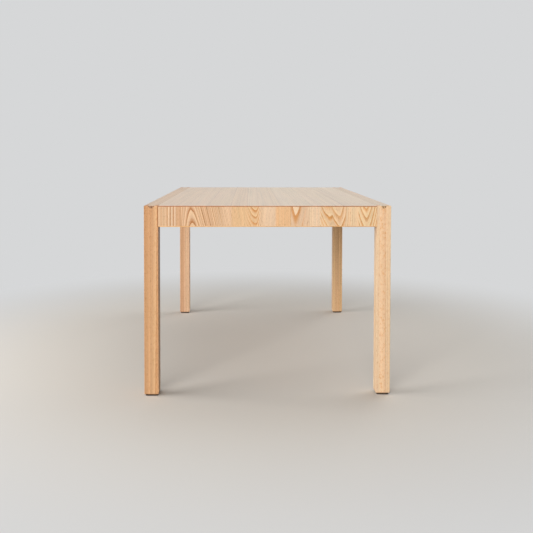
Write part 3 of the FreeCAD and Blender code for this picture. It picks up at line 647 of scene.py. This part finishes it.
stripLeaf = {"heartDepth": 0.02, "taper": 0.003, "bend": 0.001, "ripple": 0.0004}
archLeaf = {"seed": 42.1, "heartAcross": 0.1250, "heartDepth": 0.040, "taper": -0.12, "tip": 0.0580,
            "ring": 0.0060, "bend": 0.002, "ripple": 0.0020, "lean": -0.10, "sharp": 0.04}
crookLeaf = {"seed": 96.6, "heartAcross": 0.3766, "heartDepth": 0.120, "taper": 0.107, "tip": 0.0360,
             "ring": 0.0027, "bend": 0.001, "ripple": 0.0008, "sharp": 0.15, "tilt": 0.15, "vary": 0.3,
             "calm": 0.026}
spearLeaf = {"seed": 39.5, "heartAcross": 0.5260, "heartDepth": 0.080, "taper": 0.10, "tip": 0.0410,
             "ring": 0.0107, "bend": 0.001, "ripple": 0.0006, "lean": 0.02, "sharp": 0.195, "tilt": -0.035,
             "vary": 0.3, "calm": 0.024}
twinLeaf = {"seed": 12.5, "heartAcross": 0.6702, "heartDepth": 0.100, "taper": 0.068, "tip": 0.0243,
            "ring": 0.0030, "bend": 0.002, "ripple": 0.0014, "fold": 0.019, "lean": -0.146, "tilt": -0.063,
            "vary": 0.8, "calm": 0.050}
lastLeaf = {"seed": 32.6, "heartAcross": 0.8007, "heartDepth": 0.060, "taper": 0.153, "tip": 0.0266,
            "ring": 0.0064, "bend": 0.001, "ripple": 0.0008, "lean": -0.03, "sharp": 0.17, "tilt": 0.036,
            "vary": 0.4}
plainLeaf = {"seed": 46.1, "heartAcross": 0.75, "heartDepth": 0.02, "taper": 0.01, "ring": 0.0030,
             "bend": 0.002, "ripple": 0.0006, "vary": 0.8}
for leaf in (stripLeaf, archLeaf, crookLeaf, spearLeaf, twinLeaf, lastLeaf, plainLeaf):
    leaf["flecks"] = 0.0
apronLeaves = {
    "axes": "xyz", "seed": 37.0, "relief": 0.4,
    "seams": [0.0861],
    "hiddenSeams": {
        0.0292: 0.002, 0.0684: 0.002, 0.2364: 0.020, 0.2799: 0.003, 0.3864: 0.003, 0.4496: 0.003,
        0.5082: 0.002, 0.5783: 0.006, 0.6209: 0.006, 0.7135: 0.010, 0.7690: 0.006,
    },
    "boards": [
        {**stripLeaf, "heartAcross": -0.30, "ring": 0.0040,
         "dense": tint(224, 190, 156), "porous": tint(205, 156, 115)},
        {**stripLeaf, "heartAcross": -0.29085, "ring": 0.01165, "vary": 0.0,
         "dense": tint(228, 199, 168), "porous": tint(197, 135, 82)},
        {**stripLeaf, "heartAcross": -0.30, "ring": 0.0030,
         "dense": tint(218, 176, 140), "porous": tint(194, 145, 106)},
        {**archLeaf, "dense": tint(221, 185, 151), "porous": tint(185, 124, 71)},
        {**archLeaf, "dense": tint(229, 196, 164), "porous": tint(210, 162, 120)},
        {**crookLeaf, "dense": tint(232, 194, 153), "porous": tint(217, 153, 92)},
        {**crookLeaf, "dense": tint(236, 207, 175), "porous": tint(222, 177, 131)},
        {**plainLeaf, "dense": tint(236, 196, 154), "porous": tint(225, 172, 121)},
        {**spearLeaf, "dense": tint(231, 200, 169), "porous": tint(222, 158, 93)},
        {**plainLeaf, "dense": tint(243, 217, 187), "porous": tint(229, 186, 144)},
        {**twinLeaf, "dense": tint(239, 205, 168), "porous": tint(225, 162, 95)},
        {**twinLeaf, "dense": tint(242, 210, 173), "porous": tint(227, 172, 118)},
        {**lastLeaf, "dense": tint(245, 212, 171), "porous": tint(226, 160, 93)},
    ],
}
dress("apron_face_front", makeTimber("apron_face_front", apronLeaves))
dress("apron_face_rear", makeTimber("apron_face_rear", apronLeaves))

lippingLook = {
    "axes": "yzx", "seed": 47.0,
    "boards": [
        {"heartAcross": 0.02, "heartDepth": -0.15, "taper": 0.003,
         "dense": tint(244, 192, 134), "porous": tint(222, 160, 99)},
    ],
}
for piece in ("apron_lipping_front", "apron_lipping_rear"):
    dress(piece, makeTimber(piece, lippingLook))
print("rails and aprons dressed")

# The top lamella: lengthwise leaves, an easy mix of crown and straight grain

topBoard = {"ring": 0.0030, "bend": 0.0010, "ripple": 0.0005, "taper": 0.004, "streak": 0.45}
topLook = {
    "axes": "xzy", "seed": 53.0, "coat": 1.0, "coatRoughness": 0.30, "relief": 0.35,
    "seams": [0.112, 0.190, 0.277, 0.342, 0.470, 0.590, 0.715],
    "boards": [
        {**topBoard, "heartAcross": -0.05, "heartDepth": -0.05,
         "dense": tint(226, 191, 151), "porous": tint(212, 171, 127)},
        {**topBoard, "heartAcross": 0.250, "heartDepth": -0.05,
         "dense": tint(230, 197, 158), "porous": tint(215, 175, 131)},
        {**topBoard, "heartAcross": 0.120, "heartDepth": -0.08,
         "dense": tint(228, 196, 157), "porous": tint(213, 173, 129)},
        {**topBoard, "heartAcross": 0.250, "heartDepth": -0.06,
         "dense": tint(228, 193, 151), "porous": tint(211, 168, 124)},
        {**topBoard, "heartAcross": 0.300, "heartDepth": -0.06,
         "dense": tint(230, 200, 161), "porous": tint(216, 176, 132)},
        {**topBoard, "heartAcross": 0.680, "heartDepth": -0.05,
         "dense": tint(233, 206, 169), "porous": tint(218, 183, 142)},
        {**topBoard, "heartAcross": 0.500, "heartDepth": -0.06,
         "dense": tint(231, 202, 164), "porous": tint(216, 178, 137)},
        {**topBoard, "heartAcross": 0.900, "heartDepth": -0.04,
         "dense": tint(228, 201, 164), "porous": tint(212, 177, 136)},
    ],
}
dress("top_face", makeTimber("top_face", topLook))

# Under the top: a plainer backing leaf, the boards inside, and the strips that carry it all

backingBoard = {"heartDepth": -0.11, "ring": 0.005,
                "dense": tint(222, 190, 152), "porous": tint(200, 160, 120)}
backingLook = {
    "axes": "xzy", "seed": 59.0, "relief": 0.3,
    "seams": [0.210, 0.420, 0.630],
    "boards": [
        {**backingBoard, "heartAcross": 0.10, "taper": 0.012},
        {**backingBoard, "heartAcross": 0.32, "taper": -0.014},
        {**backingBoard, "heartAcross": 0.53, "taper": 0.012},
        {**backingBoard, "heartAcross": 0.74, "taper": -0.014},
    ],
}
dress("top_backing", makeTimber("top_backing", backingLook))

coreLook = {
    "axes": "zyx", "seed": 61.0, "pores": 0.4,
    "seams": [0.018, 0.037, 0.056],
    "boards": [
        {"heartAcross": 0.05, "heartDepth": -0.06, "ring": 0.004,
         "dense": tint(228, 200, 162), "porous": tint(206, 170, 128)},
        {"heartAcross": -0.04, "heartDepth": 0.06, "ring": 0.003,
         "dense": tint(222, 190, 150), "porous": tint(198, 160, 118)},
        {"heartAcross": 0.09, "heartDepth": 0.08, "ring": 0.005,
         "dense": tint(232, 204, 168), "porous": tint(210, 174, 132)},
        {"heartAcross": 0.02, "heartDepth": -0.05, "ring": 0.004,
         "dense": tint(224, 194, 156), "porous": tint(202, 166, 124)},
    ],
}
for piece in ("apron_core_front", "apron_core_rear"):
    dress(piece, makeTimber(piece, coreLook))
dress("top_core", makeTimber("top_core", {**coreLook, "axes": "xzy", "seams": backingLook["seams"]}))

stripBoard = {"taper": 0.006, "ring": 0.0042, "dense": tint(232, 206, 168), "porous": tint(210, 172, 128)}
stripHearts = {"across": 0.05, "acrossStep": 0.02, "depth": -0.05, "depthStep": 0.01}
stripSeeds = {"first": 67.0, "step": 3.1}
stripAxes = {
    "cleat_left": "xzy", "cleat_right": "xzy", "cleat_front": "yzx", "cleat_rear": "yzx",
    "cross_brace_front": "yzx", "cross_brace_rear": "yzx",
}
for index, (piece, axes) in enumerate(stripAxes.items()):
    board = {
        **stripBoard,
        "heartAcross": stripHearts["across"] - stripHearts["acrossStep"] * index,
        "heartDepth": stripHearts["depth"] - stripHearts["depthStep"] * index,
    }
    seed = stripSeeds["first"] + stripSeeds["step"] * index
    dress(piece, makeTimber(piece, {"axes": axes, "seed": seed, "pores": 0.35, "boards": [board]}))

dowelBoard = {"heartDepth": -0.06, "ring": 0.003, "dense": tint(236, 214, 180), "porous": tint(218, 188, 148)}
dowelSeeds = {"first": 91.0, "step": 2.3}
dowelAxes = {
    "apron_dowels_front": "yzx", "apron_dowels_rear": "yzx",
    "rail_dowels_left": "xzy", "rail_dowels_right": "xzy",
    "brace_dowels_front": "yzx", "brace_dowels_rear": "yzx",
}
for index, (piece, axes) in enumerate(dowelAxes.items()):
    seed = dowelSeeds["first"] + dowelSeeds["step"] * index
    dress(piece, makeTimber(piece, {"axes": axes, "seed": seed, "pores": 0.2, "boards": [dowelBoard]}))
print("top, cores and strips dressed")

# Zinc-plated steel and the rubber of the feet

zincSettings = {
    "shines": {"bracketZinc": 0.26, "screwZinc": 0.20},    # the least roughness of each
    "cloudWaves": (90.0, 90.0, 90.0),
    "cloudEdge": (0.35, 0.65),
    "coolTint": tint(214, 216, 220),
    "warmTint": tint(224, 223, 216),
    "spangleWaves": (900.0, 900.0, 900.0),
    "spangleEdge": (0.55, 0.75),
    "spangleAmount": 0.4,
    "spangleTint": tint(178, 180, 184),
    "cloudRough": 0.22,
    "relief": 0.25,
    "reliefDepth": 0.0001,
}


def makeZinc(name):
    material, tree, shader = newMaterial(name)
    settings = zincSettings
    place = objectPlace(tree)
    cloud = noise(tree, place, settings["cloudWaves"], detail=4.0)
    spangle = noise(tree, place, settings["spangleWaves"])
    clouded = fade(tree, cloud, *settings["cloudEdge"])
    spangled = fade(tree, spangle, *settings["spangleEdge"], 0.0, settings["spangleAmount"])
    colour = blendColour(tree, clouded, settings["coolTint"], settings["warmTint"])
    colour = blendColour(tree, spangled, colour, settings["spangleTint"])
    rough = calc(tree, "MULTIPLY_ADD", cloud, settings["cloudRough"], settings["shines"][name])
    addBump(tree, shader, settings["relief"], settings["reliefDepth"], spangle)
    feed(tree, shader.inputs["Base Color"], colour)
    feed(tree, shader.inputs["Roughness"], rough)
    shader.inputs["Metallic"].default_value = 1.0
    return material


rubberSettings = {
    "gritWaves": (1500.0, 1500.0, 1500.0),
    "gritEdge": (0.3, 0.7),
    "dustWaves": (60.0, 60.0, 160.0),
    "dustEdge": (0.45, 0.75),
    "rubberTint": tint(62, 50, 42),
    "dustTint": tint(98, 84, 72),
    "roughness": (0.62, 0.8),
    "relief": 0.5,
    "reliefDepth": 0.0002,
}


def makeRubber():
    material, tree, shader = newMaterial("footRubber")
    settings = rubberSettings
    place = objectPlace(tree)
    grit = noise(tree, place, settings["gritWaves"], detail=3.0)
    dust = noise(tree, place, settings["dustWaves"], detail=4.0)
    dusty = fade(tree, dust, *settings["dustEdge"])
    colour = blendColour(tree, dusty, settings["rubberTint"], settings["dustTint"])
    addBump(tree, shader, settings["relief"], settings["reliefDepth"], grit)
    feed(tree, shader.inputs["Base Color"], colour)
    feed(tree, shader.inputs["Roughness"], fade(tree, grit, *settings["gritEdge"], *settings["roughness"]))
    return material


bracketZinc = makeZinc("bracketZinc")
screwZinc = makeZinc("screwZinc")
footRubber = makeRubber()
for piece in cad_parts:
    if piece.startswith("corner_bracket"):
        dress(piece, bracketZinc)
    elif "screws" in piece or piece.startswith(("leg_bolt", "bolt_")):
        dress(piece, screwZinc)
    elif piece.startswith("foot_pad"):
        dress(piece, footRubber)
print("metal and feet dressed")

# The leg bolts and their nuts, with threads and chamfers cut in the space of the plain ones

boltCut = {
    "sides": 24,
    "steps": 6,                # rings of points to a turn of the thread
    "woodShare": 0.42,         # how much of the length is the coarse thread in the leg
    "woodPitch": 0.0030,
    "woodDepth": 0.0011,
    "nutPitch": 0.00125,
    "nutDepth": 0.0007,
    "pointLength": 0.005,
    "pointRadius": 0.0002,
    "tipChamfer": 0.0010,
}
nutCut = {
    "sides": 48,
    "faceShare": 0.96,         # the round flat on each end, as a share of the half width across the flats
    "boreChamfer": 0.0004,
    "chamferSlope": math.tan(math.radians(30)),
}
sharpEdge = math.radians(35)


def cornerAxes(piece):    # a node's points in its corner's own frame: along the diagonal, across it and up
    low, high = (Vector(corner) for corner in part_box(piece))
    middle = (low + high) / 2
    ahead = Vector((-math.copysign(1.0, middle.x), -math.copysign(1.0, middle.y), 0.0)).normalized()
    across = Vector((-ahead.y, ahead.x, 0.0))
    axes = Matrix((ahead, across, (0.0, 0.0, 1.0)))
    points = [axes @ (vertex.co - middle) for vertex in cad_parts[piece].data.vertices]
    return middle, axes.transposed(), points


def weaveRings(name, rings, looped):    # joins each ring of points to the next
    built = bmesh.new()
    rows = [[built.verts.new(point) for point in ring] for ring in rings]
    if looped:
        rows.append(rows[0])
    else:
        built.faces.new(rows[0])
        built.faces.new(rows[-1])
    for row, following in zip(rows, rows[1:]):
        for index in range(len(row)):
            after = (index + 1) % len(row)
            built.faces.new((row[index], row[after], following[after], following[index]))
    bmesh.ops.recalc_face_normals(built, faces=built.faces)
    mesh = bpy.data.meshes.new(name)
    built.to_mesh(mesh)
    built.free()
    mesh.shade_smooth()
    mesh.set_sharp_from_angle(angle=sharpEdge)
    mesh.materials.append(screwZinc)
    return addObject(name, mesh)


def replaceFastener(piece, node):
    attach(piece, "root")
    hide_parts(node)


def cutBolt(node):
    cut = boltCut
    middle, turned, points = cornerAxes(node)
    start, end = min(point.x for point in points), max(point.x for point in points)
    rim = max(point.y for point in points)
    length = end - start
    woodEnd = length * cut["woodShare"]
    along = [0.0]
    while along[-1] < length:
        pitch = cut["woodPitch"] if along[-1] < woodEnd else cut["nutPitch"]
        along.append(min(length, along[-1] + pitch / cut["steps"]))
    rings = []
    for reach in along:
        inWood = reach < woodEnd
        pitch = cut["woodPitch"] if inWood else cut["nutPitch"]
        depth = cut["woodDepth"] if inWood else cut["nutDepth"]
        pointed = cut["pointRadius"] + rim * reach / cut["pointLength"]
        chamfered = rim - max(0.0, reach - length + cut["tipChamfer"])
        ring = []
        for index in range(cut["sides"]):
            turn = index / cut["sides"]
            groove = abs(2 * ((reach / pitch - turn) % 1) - 1)
            radius = min(rim - depth * (math.sqrt(groove) if inWood else groove), pointed, chamfered)
            angle = math.tau * turn
            local = Vector((start + reach, radius * math.cos(angle), radius * math.sin(angle)))
            ring.append(middle + turned @ local)
        rings.append(ring)
    replaceFastener(weaveRings(node + "_threaded", rings, False), node)


def cutNut(node):
    cut = nutCut
    middle, turned, points = cornerAxes(node)
    half = max(point.x for point in points)
    corner = max(points, key=lambda point: point.yz.length)
    firstCorner = math.atan2(corner.z, corner.y)
    bore = min(point.yz.length for point in points)
    sixth = math.tau / 6
    flat = corner.yz.length * math.cos(sixth / 2)
    face = flat * cut["faceShare"]
    bevel = cut["boreChamfer"]
    rings = []
    for index in range(cut["sides"]):
        turn = math.tau * index / cut["sides"]
        edge = flat / math.cos((turn % sixth) - sixth / 2)
        drop = (edge - face) * cut["chamferSlope"]
        profile = [(bore, half - bevel), (bore + bevel, half), (face, half), (edge, half - drop)]
        profile += [(radius, -reach) for radius, reach in reversed(profile)]
        angle = firstCorner + turn
        ring = []
        for radius, reach in profile:
            local = Vector((reach, radius * math.cos(angle), radius * math.sin(angle)))
            ring.append(middle + turned @ local)
        rings.append(ring)
    replaceFastener(weaveRings(node + "_chamfered", rings, True), node)


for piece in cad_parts:
    if piece.startswith("leg_bolt"):
        cutBolt(piece)
    elif piece.startswith("bolt_nut"):
        cutNut(piece)
print("bolts threaded and nuts chamfered")

# Floor, sky and lamps of a plain studio

studio = {
    "floorSide": 60.0,
    "floorColour": tint(222, 218, 211),
    "floorBounce": tint(142, 131, 118),    # what the floor throws back on the table
    "floorRoughness": 0.75,
    "floorEnds": (0.9, 2.3),    # metres from the middle over which it melts into the backdrop
    "skyColour": (0.94, 0.97, 1.0, 1.0),
    "skyLight": 0.09,
    "backdrop": tint(214, 215, 216),
    "lamps": {
        "windowSide": {"place": (-3.4, -1.0, 1.5), "aim": (0.0, 0.0, 0.4), "size": (2.4, 2.2),
                       "power": 98.0, "colour": (1.0, 0.98, 0.96), "mirrored": False},
        "roomFront": {"place": (-2.0, -7.6, 2.6), "aim": (0.0, -0.7, 0.45), "size": (5.0, 3.5),
                      "power": 476.0, "colour": (1.0, 0.97, 0.94), "mirrored": False},
        "ceiling": {"place": (0.4, 0.4, 3.0), "aim": (0.0, 0.0, 0.7), "size": (2.6, 2.6),
                    "power": 20.0, "colour": (1.0, 0.99, 0.98), "mirrored": True},
        "backRight": {"place": (3.2, 1.9, 2.9), "aim": (0.3, 0.2, 0.5), "size": (4.0, 3.2),
                      "power": 60.0, "colour": (1.0, 0.99, 0.98), "mirrored": True},
    },
}


def shownToEye(tree):    # 1 for what the camera, a reflection or a glass would see
    path = addNode(tree, "ShaderNodeLightPath").outputs
    shown = calc(tree, "MAXIMUM", path["Is Camera Ray"], path["Is Glossy Ray"])
    return calc(tree, "MAXIMUM", shown, path["Is Transmission Ray"])


def makeFloor():
    side = studio["floorSide"] / 2
    corners = [(-side, -side, 0), (side, -side, 0), (side, side, 0), (-side, side, 0)]
    mesh = bpy.data.meshes.new("studioFloor")
    mesh.from_pydata(corners, [], [(0, 1, 2, 3)])
    floor = addObject("studioFloor", mesh)
    material, tree, shader = newMaterial("floorPaint")
    shown = shownToEye(tree)
    paint = blendColour(tree, shown, studio["floorBounce"], studio["floorColour"])
    feed(tree, shader.inputs["Base Color"], paint)
    shader.inputs["Roughness"].default_value = studio["floorRoughness"]

    # the far floor shows as the backdrop, and from underneath the floor isn't seen
    x, y = list(split(tree, objectPlace(tree)))[:2]
    away = calc(tree, "SQRT", calc(tree, "MULTIPLY_ADD", x, x, calc(tree, "MULTIPLY", y, y)))
    melted = fade(tree, away, *studio["floorEnds"])
    backdrop = addNode(tree, "ShaderNodeEmission")
    backdrop.inputs["Color"].default_value = studio["backdrop"]
    far = addNode(tree, "ShaderNodeMixShader")
    feed(tree, far.inputs[0], calc(tree, "MULTIPLY", melted, shown))
    feed(tree, far.inputs[1], shader.outputs[0])
    feed(tree, far.inputs[2], backdrop.outputs[0])
    under = addNode(tree, "ShaderNodeMixShader")
    feed(tree, under.inputs[0], addNode(tree, "ShaderNodeNewGeometry").outputs["Backfacing"])
    feed(tree, under.inputs[1], far.outputs[0])
    feed(tree, under.inputs[2], addNode(tree, "ShaderNodeBsdfTransparent").outputs[0])
    feed(tree, tree.nodes["Material Output"].inputs["Surface"], under.outputs[0])
    mesh.materials.append(material)


def makeSky():
    world = bpy.data.worlds.new("studioSky")
    bpy.context.scene.world = world
    world.use_nodes = True
    tree = world.node_tree
    tree.nodes.clear()
    light = addNode(tree, "ShaderNodeBackground")
    light.inputs["Color"].default_value = studio["skyColour"]
    light.inputs["Strength"].default_value = studio["skyLight"]
    backdrop = addNode(tree, "ShaderNodeBackground")
    backdrop.inputs["Color"].default_value = studio["backdrop"]
    mix = addNode(tree, "ShaderNodeMixShader")
    feed(tree, mix.inputs[0], shownToEye(tree))
    feed(tree, mix.inputs[1], light.outputs[0])
    feed(tree, mix.inputs[2], backdrop.outputs[0])
    feed(tree, addNode(tree, "ShaderNodeOutputWorld").inputs["Surface"], mix.outputs[0])


def makeLamp(name, values):
    lamp = bpy.data.lights.new(name, "AREA")
    lamp.shape = "RECTANGLE"
    lamp.size, lamp.size_y = values["size"]
    lamp.energy = values["power"]
    lamp.color = values["colour"]
    holder = addObject(name, lamp)
    holder.location = values["place"]
    holder.visible_glossy = values["mirrored"]    # whether a shiny surface shows the lamp itself
    aim = Vector(values["aim"]) - Vector(values["place"])
    holder.rotation_euler = aim.to_track_quat("-Z", "Y").to_euler()


makeFloor()
makeSky()
for name, values in studio["lamps"].items():
    makeLamp(name, values)
print("studio ready")

# The camera stands in front of the table's end, a little to the left of its middle

cameraSettings = {
    "place": (-0.07327, -3.51328, 0.93671),
    "turnRight": 1.3958,    # degrees
    "lookDown": 1.9317,
    "roll": -0.1143,
    "lens": 48.744,         # millimetres
    "sensor": 36.0,
    "shiftUp": -0.1668,
}


def makeCamera():
    settings = cameraSettings
    yaw, pitch, roll = (math.radians(settings[name]) for name in ("turnRight", "lookDown", "roll"))
    ahead = Vector((math.sin(yaw) * math.cos(pitch), math.cos(yaw) * math.cos(pitch), -math.sin(pitch)))
    level = Vector((math.cos(yaw), -math.sin(yaw), 0))
    under = ahead.cross(level)
    right = level * math.cos(roll) + under * math.sin(roll)
    down = under * math.cos(roll) - level * math.sin(roll)
    lens = bpy.data.cameras.new("endView")
    lens.lens = settings["lens"]
    lens.sensor_width = settings["sensor"]
    lens.shift_y = settings["shiftUp"]
    camera = addObject("endView", lens)
    turned = Matrix((right, -down, -ahead)).transposed().to_4x4()
    camera.matrix_world = Matrix.Translation(settings["place"]) @ turned
    bpy.context.scene.camera = camera


makeCamera()
bpy.context.scene.view_settings.view_transform = "Standard"
